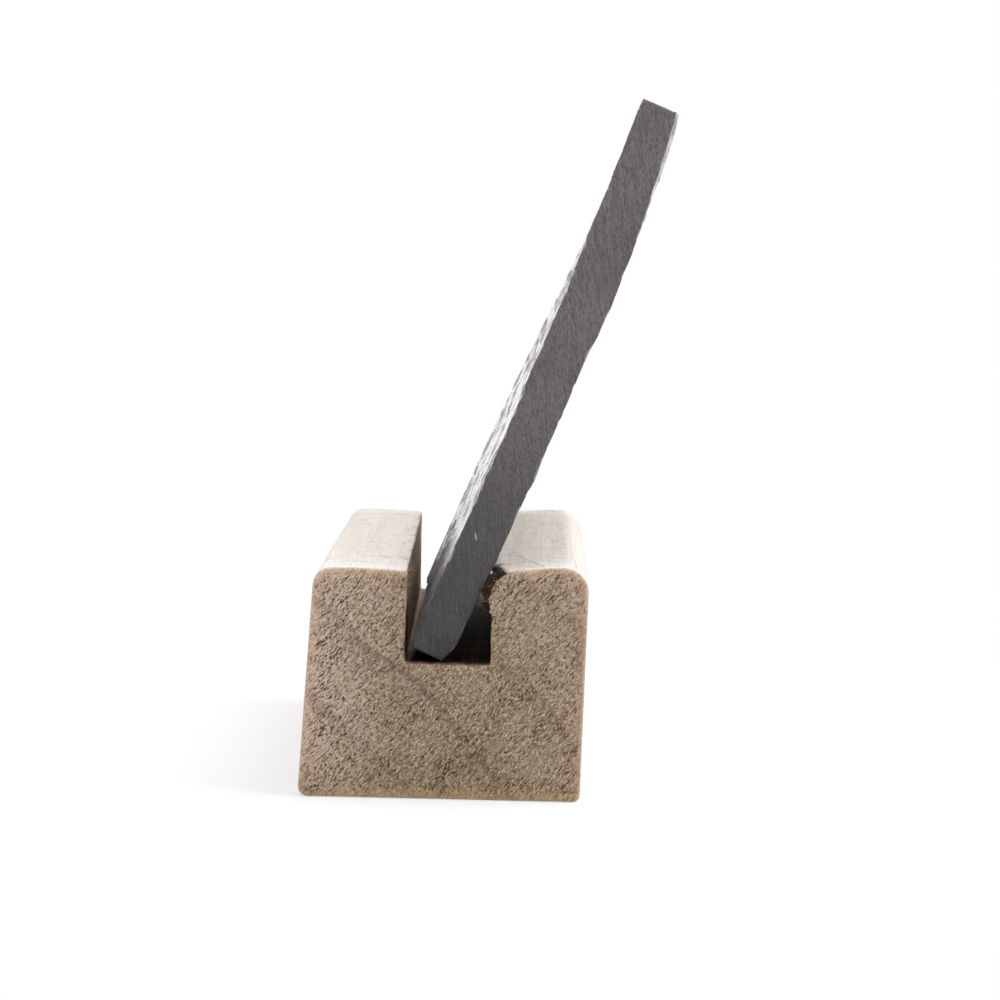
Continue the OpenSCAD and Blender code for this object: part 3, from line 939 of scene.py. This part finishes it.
def fibreBundle(f, facts):
    # a tube with triangles for sections along a parabola: root + heading * length * u + curl * u^2,
    # with the radius falling from the root's to the tip's as u^2, for all fibres at once
    draw = np.random.default_rng(f["seed"])
    count, steps, sides = f["count"], facts["steps"], facts["sides"]
    roots = np.array(f["roots"], float)
    spot = alongPath(roots, draw.random(count) * runOf(roots)[-1])
    frontGap = facts["frontGap"] + f["reach"] * draw.random(count) ** 2
    heading = np.radians(draw.uniform(*f["heading"], count))
    # no fibre reaches into the card: its length ends short of the card's back
    backX, backZ = beechBlock["relief"]["cardBack"]
    slope = beechBlock["relief"]["cardSlope"]
    gap = spot[:, 0] - backX - (spot[:, 1] - backZ) * slope
    closing = np.maximum(slope * np.sin(heading) - np.cos(heading), facts["slowest"])
    room = np.where(gap > 0, facts["room"] * gap / closing, np.inf)
    length = np.minimum(draw.uniform(*f["length"], count), room)
    radius = draw.uniform(*f["thickness"], count) / 2
    aside = draw.uniform(-facts["lean"], facts["lean"], count)
    forward = np.stack([np.cos(heading), aside, np.sin(heading)], -1)
    curl = draw.uniform(-1, 1, (count, 3)) * facts["curl"]
    root = np.stack([spot[:, 0], blockLow[1] + frontGap, spot[:, 1]], -1) - facts["rooted"] * forward
    u = np.linspace(0, 1, steps)[:, None]
    middle = root[:, None] + length[:, None, None] * (forward[:, None] * u + curl[:, None] * u ** 2)
    tangent = np.gradient(middle, axis=1)
    tangent /= np.linalg.norm(tangent, axis=2, keepdims=True)
    side = np.cross(tangent, facts["sidewards"])
    side /= np.linalg.norm(side, axis=2, keepdims=True)
    other = np.cross(tangent, side)
    turn = np.arange(sides) * 2 * np.pi / sides
    wide = radius[:, None, None, None] * (1 - (1 - facts["tip"]) * u[..., None] ** 2)
    tube = middle[:, :, None] + wide * (
        side[:, :, None] * np.cos(turn)[:, None] + other[:, :, None] * np.sin(turn)[:, None])
    tube[..., 1] = np.maximum(tube[..., 1], blockLow[1] + facts["inset"])
    # a pale fibre is scorched by a random share, and the others are fully dark, as burn and as painted
    # shade beside the card
    burnAndShade = np.where(draw.random(count) < f["paleShare"], draw.uniform(*f["paleBurn"], count), 1)
    return tube, np.broadcast_to(burnAndShade[:, None, None], tube.shape[:3])


def fibrePiece(name, facts, material):
    # both bundles as one mesh, each fibre closed by a triangle at its root and its tip
    bundles = [fibreBundle(facts[edge], facts) for edge in ("lip", "leftEdge")]
    tube = np.concatenate([tube for tube, burnAndShade in bundles])
    burnAndShade = np.concatenate([burnAndShade for tube, burnAndShade in bundles]).ravel()
    index = np.arange(burnAndShade.size).reshape(tube.shape[:3])
    a, b = index[:, :-1], index[:, 1:]
    c, d = np.roll(b, -1, 2), np.roll(a, -1, 2)
    walls = [np.stack([a, d, c], -1), np.stack([a, c, b], -1)]
    caps = [index[:, 0, ::-1], index[:, -1]]
    faces = np.concatenate([part.reshape(-1, 3) for part in walls + caps])
    fields = {"slotCut": 1 + 0 * burnAndShade, "burnAndShade": burnAndShade, "rimGap": beechBlock["beyondRim"] + 0 * burnAndShade}
    return newObject(name, tube.reshape(-1, 3), faces, fields, material)


fibres = fibrePiece("torn_fibres", fibreFacts, block.data.materials[0])
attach(fibres, "block")
print("fibres made")


# The slate card

slateCard = {
    "sizes": {
        "length": 78,
        "height": 59.2,
        "thickness": 4.6,
        "lean": 24.14,
        "footPlace": (0.083, -0.186),    # of the card's own zero from the middle of the slot's floor
        "bevelDepth": 0.75,              # along the foot of the back
        "bevelHeight": 2.0,
        "bend": 2.6,                     # how far the top corner at the front end bends to the face
        "bendUp": 2.5,
        "bendBack": 1.3,
        "arris": 0.16,
    },
    # depth of each split face below its own plane, at heights up the card, along the front end's edge
    # and along the rear end's
    "faceAtFront": [
        (0, 0.46), (3, 0.34), (7, 0.18), (11, 0.1), (14, 0.14), (18, -0.03), (23, 0.07),
        (29, -0.06), (33, 0.0), (39, 0.07), (45, 0.02), (50, 0.2), (55, 0.3), (59.2, 0.42),
    ],
    "faceAtRear": [
        (0, 0.62), (6, 0.46), (12, 0.31), (18, 0.15), (24, 0.11), (30, 0.17), (41, 0.29),
        (47, 0.15), (54, 0.34), (59.2, 0.5),
    ],
    "backAtFront": [
        (0, 0.0), (9, 0.02), (13, 0.02), (18.5, 0.02), (21, -0.15), (23.7, 0.02), (28.9, 0.01),
        (31.5, 0.0), (34.1, -0.06), (36.7, -0.23), (39.3, -0.37), (42, -0.32), (44.6, -0.35),
        (47.2, -0.18), (49.8, -0.11), (52.4, 0.0), (55, 0.12), (57.6, 0.3), (59.2, 0.42),
    ],
    "backAtRear": [
        (0, 0.2), (6, 0.1), (10.1, 0.0), (18, 0.2), (26, 0.4), (34, 0.2), (42, 0.08), (48, 0.24),
        (54, 0.45), (59.2, 0.52),
    ],
    "grid": {
        "upSamples": 220,
        "acrossSamples": 7,      # over half of the thickness, on the foot and on the top
        "rings": 8,
        "stations": 165,
        "stationDrift": 0.25,
        "lineGap": 2,            # the ends' middle lines stop this short of the foot and the top
    },
    # random patterns as the block's. The faces lie one cell apart, so each has its own
    "noises": {
        "layer": ((40, 24, 17), 61, 4, 0.55),
        "rill": ((40, 7, 1.6), 65, 4, 0.55),
        "grit": ((40, 3, 0.8), 67, 3, 0.6),
        "chip": ((40, 1.7, 1.4), 71, 4, 0.65),
        "edge": ((3, 9, 9), 79, 3),
        "saw": ((0.45, 40, 14), 83, 2),
    },
    "relief": {
        "faceGap": 40,             # what the back's patterns are moved by, so that the face has others
        "swap": (4, 60),           # where the rear edge's depths start to take over, and how softly
        "layer": 0.13,             # thickness of the layers that the split faces step through
        "layerStep": 0.18,         # the part of a layer that its step takes up
        "layerRange": 0.42,
        "ledge": (0.9, 0.09),      # where a step's line lies in its layer, and its width
        "calmEnds": 5,             # the layers die out this near to the ends, down to the share left
        "calmShare": 0.2,
        "lipHeight": 10.1,         # the back is smooth here, where it leans on the lip
        "lipReach": 2.5,
        "rill": 0.14,              # hollows and ridges that run along the card
        "rillMix": (0.6, 0.5),     # how far they follow the noise, and the distance from the ends
        "rillShare": 0.4,          # what is left of them at the ends
        "grit": 0.04,
        "cornerChip": 0.6,         # how far the back's top corner is broken back at the front end
        "cornerPlace": (2, 5),     # its middle, down from the top and in from the front end
        "cornerReach": (11, 3.5),
        "cornerLayer": 0.1,
        "chipDepth": 0.24,
        "chipWidth": (0.18, 1.0),  # a chip's least width, and what the noise adds to it
        "chipLevel": (0.48, 2.2),  # the noise over which the arris is chipped, and how sharply
        "chipHollow": 1.5,         # power of a chip's profile
        "sawDepth": 0.012,
        "sawSlant": 0.12,
        "edgeWander": 0.12,
        "footWander": 0.3,         # share of it on the foot, and the next one on the ends
        "endWander": 0.6,
        "crownRise": 0.25,         # how much higher the top edge stands at the back, at the front end
        "crownReach": (3, 30),     # down from the top and in from the front end
        "crownBack": 0.4,          # shifts the rise towards the back
    },
}


def smoothThrough(table, height):
    # passes through the table's points, with level tangents there: 3t^2 - 2t^3 between neighbours
    places, depths = np.array(table, float).T
    after = np.clip(np.searchsorted(places, height, "right"), 1, len(places) - 1)
    share = ease(height - places[after - 1], places[after] - places[after - 1])
    return blend(depths[after - 1], depths[after], share)


def layered(height, layer, step):
    # turns a smooth height into level layers with short steeper steps between them
    count = np.floor(height / layer)
    return layer * (count + ramp(height / layer - count, 1 - step, step))


def splitRelief(flat, onBack, s, r, n):
    # depth of the split faces below their planes: level terraces with thin steps, which die out
    # towards the sawn ends, rills along the card, a top corner broken off in layers, and grit
    y, z = flat[..., 1], flat[..., 2]
    half = s["length"] / 2
    rise = r["layerRange"] * np.clip(levelOf(flat, n["layer"]), 0, 1)
    terraces = layered(rise, r["layer"], r["layerStep"])
    linePlace, lineWidth = r["ledge"]
    ledge = bump(rise / r["layer"] % 1 - linePlace, lineWidth)
    inner = ease(half - np.abs(y), r["calmEnds"]) * (1 - r["calmShare"]) + r["calmShare"]
    lipGuard = 1 - onBack * bump(z - r["lipHeight"], r["lipReach"])
    sink = terraces * inner * lipGuard
    noiseShare, innerShare = r["rillMix"]
    rills = np.clip(noiseShare * roughNoise(flat, *n["rill"]) + innerShare * inner, 0, 1)
    sink += r["rill"] * rills * lipGuard * (r["rillShare"] + (1 - r["rillShare"]) * inner)
    down, along = r["cornerPlace"]
    downReach, alongReach = r["cornerReach"]
    corner = bump(z - s["height"] + down, downReach) * bump(y + half - along, alongReach)
    sink -= onBack * layered(r["cornerChip"] * corner, r["cornerLayer"], r["layerStep"])
    return sink + r["grit"] * levelOf(flat, n["grit"]), terraces, ledge * inner


def arrisChips(flat, edgeGap, r, n):
    # depth of the chips along the arrises: (1 - distance / width) to a power, where the noise that
    # widens them is high
    noise = levelOf(flat, n["chip"])
    least, more = r["chipWidth"]
    over, sharp = r["chipLevel"]
    width = least + more * np.clip(noise - 0.5, 0, 1)
    return (r["chipDepth"] * np.clip(1 - edgeGap / width, 0, 1) ** r["chipHollow"]
            * np.clip(sharp * (noise - over), 0, 1))


def cardSurface(piece):
    # in the card's own axes: x across the thickness from the back plane, y along the card, z up its
    # face. Samples go from the middle of the foot up the back, over the top and down the face. Rows
    # go from the middle line of the front end out to its rim, along the card and in again
    s, g, r, n = (piece[part] for part in ("sizes", "grid", "relief", "noises"))
    up = np.linspace(0, 1, g["upSamples"])
    across = (np.arange(g["acrossSamples"]) + 0.5) / g["acrossSamples"]
    halfUp = np.concatenate([0 * across, up, 0 * across + 1])
    halfOut = np.concatenate([across, 0 * up + 1, across[::-1]])
    upShare = np.concatenate([halfUp, halfUp[::-1]])
    outShare = np.concatenate([halfOut, halfOut[::-1]])
    onBack = np.concatenate([0 * halfUp + 1, 0 * halfUp])

    fill = np.linspace(1, 0, g["rings"] + 1)
    atEnd = np.ones(len(fill))
    even = np.linspace(-1, 1, g["stations"])
    station = blend(even, np.sin(even * np.pi / 2), g["stationDrift"])
    towards = np.concatenate([fill, 0 * station, fill[::-1]])[:, None]
    share = np.concatenate([-atEnd, station, atEnd])[:, None]
    capped = np.concatenate([atEnd, 0 * station, atEnd])[:, None]

    height, half = s["height"], s["length"] / 2
    z = upShare * height + 0 * share
    y = share * (half - s["arris"] * (1 - capped)) + 0 * upShare
    flat = np.stack([onBack * r["faceGap"] + 0 * y, y, z], -1)
    fromFront = y + half
    fading = np.clip(1 - fromFront / s["length"], 0, 1) ** s["bendBack"]
    bent = s["bend"] * (z / height) ** s["bendUp"] * fading
    swapped = ramp(fromFront, *r["swap"])
    facePlane, backPlane = (
        blend(*(smoothThrough(piece[side + edge], z) for edge in ("AtFront", "AtRear")), swapped)
        for side in ("face", "back"))
    relief, terraces, ledge = splitRelief(flat, onBack, s, r, n)
    edgeGap = np.minimum(np.minimum(half - np.abs(y), z), height - z)
    sink = np.where(onBack == 1, backPlane, facePlane) + relief + arrisChips(flat, edgeGap, r, n)
    bevel = onBack * s["bevelDepth"] * np.clip(1 - z / s["bevelHeight"], 0, 1)
    sink = np.where(bevel > 0, np.maximum(sink, bevel), sink)
    surfaceX = np.where(onBack == 1, -sink, sink - s["thickness"]) - bent
    middleX = (surfaceX + surfaceX[:, ::-1]) / 2
    # the ends close onto a middle line that stops short of the foot and the top
    x = blend(blend(middleX, surfaceX, outShare), middleX, towards)
    z = blend(z, np.clip(z, g["lineGap"], height - g["lineGap"]), towards)

    # the sawn edges wander a little, the top's back edge stands higher, and saw lines cross the ends
    foot = (upShare == 0) * (outShare < 1)
    crown = (upShare == 1) * (outShare < 1)
    wander = r["edgeWander"] * levelOf(np.stack([x, y, z], -1), n["edge"])
    backShare = np.clip((x - middleX) / s["thickness"] + r["crownBack"], 0, 1)
    down, along = r["crownReach"]
    z = z + r["crownRise"] * backShare * ease(z - height + down, down) * bump(fromFront, along)
    z = z - crown * wander + foot * r["footWander"] * wander
    lean = np.radians(s["lean"])
    sawX = x * np.cos(lean) + z * np.sin(lean)
    sawZ = z * np.cos(lean) - x * np.sin(lean)
    lines = roughNoise(np.stack([sawX + r["sawSlant"] * sawZ, y, sawZ], -1), *n["saw"])
    y = y - np.sign(share) * capped * (r["sawDepth"] * (1 + lines) + r["endWander"] * wander)
    toEdge = np.where(foot + crown > 0, (1 - outShare) * s["thickness"] / 2, edgeGap)
    return np.stack([x, y, z], -1), {
        "sawn": np.maximum(capped + 0 * x, np.maximum(foot, crown) + 0 * x),
        "up": upShare + 0 * x,
        "arrisGap": np.where(capped > 0, towards * s["thickness"] / 2, toEdge),
        "terrace": terraces / r["layerRange"],
        "ledge": ledge,
    }


def intoSlot(points, s, slotSizes):
    # the card's own axes lean back about Y, move to the slot's floor and turn with the slot
    lean, skew = np.radians(s["lean"]), np.radians(slotSizes["slotSkew"])
    x, y, z = np.moveaxis(points, -1, 0)
    footX, footZ = s["footPlace"]
    across = footX + x * np.cos(lean) + z * np.sin(lean)
    upward = slotSizes["slotFloor"] + footZ - x * np.sin(lean) + z * np.cos(lean)
    return np.stack([
        slotSizes["slotOffset"] + across * np.cos(skew) - y * np.sin(skew),
        across * np.sin(skew) + y * np.cos(skew),
        upward,
    ], -1)


# Slate, split along its layers and sawn to size, unpolished: dull dark grey, with fine saw lines and
# specks on the edges, a soft sheen at a low angle on the split faces, and pale chips at the arrises
slatePatterns = {
    "cloud": ((7, 12, 9), 24, 3, {}),
    "sawLine": ((0.15, 0.5, 2.8), -7, 2, {}),
    "crack": ((0.12, 0.5, 0.55), -9, 1.5, {"sawLine": 0.5}),
    "speck": ((0.17, 0.17, 0.22), 0, 1, {}),
    "streak": ((3.0, 9.0, 2.2), 24, 3, {}),
    "wave": ((3.0, 7.0, 1.8), 24, 3, {}),
    "rill": ((0.8, 8.0, 0.55), 24, 3, {}),
    "grit": ((0.24, 0.34, 0.26), 24, 1.5, {"wave": 0.3}),
    "edge": ((1.1, 1.1, 1.1), 0, 3, {}),
}
sawnLayers = [
    ("cloud", 0.4, 0.66, 0.4, "#514b4c", 0),
    # painted shade: the sawn ends darken towards the foot
    ("up", 0.58, 0.02, 0.96, "#292a2a", 0),
    ("sawLine", 0.52, 0.36, 0.42, "#221e1f", -0.012),
    ("sawLine", 0.54, 0.7, 0.24, "#7f7879", 0.01),
    ("speck", 0.46, 0.28, 0.4, "#1e1a19", -0.012),
    ("speck", 0.6, 0.8, 0.24, "#8a8382", 0.006),
    ("crack", 0.82, 0.92, 0.6, "#1f1a1a", -0.02),
    ("nick", 1.2, 0.7, 0.5, "#b9b3b1", 0.02),
]
splitLayers = [
    ("streak", 0.5, 0.34, 0.3, "#3a3432", -0.06),
    ("terrace", 0.2, 0.9, 0.45, "#494748", 0),
    ("ledge", 0.1, 0.8, 0.4, "#2f2d2e", 0),
    ("cloud", 0.35, 0.65, 0.45, "#4b484a", 0),
    ("wave", 0.48, 0.7, 0.35, "#7b7776", 0.1),
    ("rill", 0.5, 0.34, 0.3, "#3b3939", -0.06),
    ("rill", 0.56, 0.76, 0.25, "#8d8987", 0.05),
    ("grit", 0.58, 0.42, 0.55, "#393737", -0.04),
    ("grit", 0.7, 0.86, 0.4, "#9d9896", 0.03),
    # painted shade with brown dust: the split faces turn dark brown towards the foot, inside the slot
    ("foot", 0.24, 0.15, 0.7, "#2a211b", 0),
]
slateLook = {
    "sawn": "#645c5e",
    "split": "#565455",
    "chipped": "#a7a3a0",
    "roughness": 0.17,
    "dullStreaks": 0.32,     # how much rougher the split faces are in streaks
    "dullSpan": (0.5, 0.42),
    "footRoughness": 0.4,    # duller with brown dust where the card stands in the slot
    "footSpan": (0.14, 0.22),
    "footRagged": 0.14,      # how ragged the edge of the foot's dust and painted shade is
    "dust": 0.16,            # sheen of the dust that lies on the split faces
    "dustRoughness": 0.5,
    "chipRagged": 0.9,
    "chipSpan": (0.75, 0.4),         # distances from the arris where its pale chips start and are full
    "chipCover": 0.8,
    "nickPlace": (3.2, -39, 26.4),   # a pale nick in the front end
    "nickSize": (0.1, 5, 0.42),
    "nickTurn": 12,
}


def slateMaterial(look):
    # sawn edges and split faces, shared out by the mesh's own fields
    material, tree = newMaterial("split_sawn_slate")
    place, levels = layPatterns(tree, slatePatterns)
    for field in ("sawn", "up", "arrisGap", "terrace", "ledge"):
        levels[field] = addNode(tree, "Attribute", gives="Fac", attribute_name=field)
    # the foot's level, which sets its brown dust and painted shade and its duller roughness
    levels["foot"] = addNode(
        tree, "Math", [levels["wave"], look["footRagged"], levels["up"]], operation="MULTIPLY_ADD")
    nick = addNode(tree, "Mapping", {
        "Vector": place, "Location": [v * mm for v in look["nickPlace"]],
        "Rotation": (0, np.radians(-look["nickTurn"]), 0), "Scale": [v * mm for v in look["nickSize"]]},
        vector_type="TEXTURE")
    levels["nick"] = addNode(tree, "VectorMath", [nick], "Value", operation="LENGTH")
    sawnColour, sawnHeight = layOn(tree, sawnLayers, levels, linear(look["sawn"]))
    splitColour, splitHeight = layOn(tree, splitLayers, levels, linear(look["split"]))
    # along the split faces' edges the saw chipped the stone, and the fresh chips are paler
    raggedGap = addNode(
        tree, "Math", [levels["edge"], look["chipRagged"], levels["arrisGap"]], operation="MULTIPLY_ADD")
    chips = addNode(tree, "MapRange", {
        "Value": raggedGap, "From Min": look["chipSpan"][0], "From Max": look["chipSpan"][1],
        "To Max": look["chipCover"]}, interpolation_type="SMOOTHSTEP")
    splitColour = addNode(tree, "Mix", [chips, splitColour, linear(look["chipped"])], data_type="RGBA")
    roughness = addNode(tree, "MapRange", {
        "Value": levels["foot"], "From Min": look["footSpan"][0], "From Max": look["footSpan"][1],
        "To Min": look["footRoughness"], "To Max": look["roughness"]})
    dull = addNode(tree, "MapRange", {
        "Value": levels["streak"], "From Min": look["dullSpan"][0], "From Max": look["dullSpan"][1],
        "To Max": look["dullStreaks"]})
    roughness = addNode(tree, "Math", [roughness, dull], use_clamp=True)
    colour = addNode(tree, "Mix", [levels["sawn"], splitColour, sawnColour], data_type="RGBA")
    height = addNode(tree, "Mix", [levels["sawn"], splitHeight, sawnHeight])
    relief = addNode(tree, "Bump", {"Height": height, "Distance": mm, "Strength": 1.0})
    shader = addNode(tree, "BsdfPrincipled", {
        "Base Color": colour, "Roughness": roughness, "Normal": relief,
        "Sheen Weight": look["dust"], "Sheen Roughness": look["dustRoughness"]})
    addNode(tree, "OutputMaterial", {"Surface": shader})
    return material


cardPoints, cardFields = cardSurface(slateCard)
cardPoints = intoSlot(cardPoints, slateCard["sizes"], beechBlock["sizes"])
card = gridObject("split_slate", cardPoints, cardFields, slateMaterial(slateLook))
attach(card, "card")
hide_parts("slate_card")
print("card made")
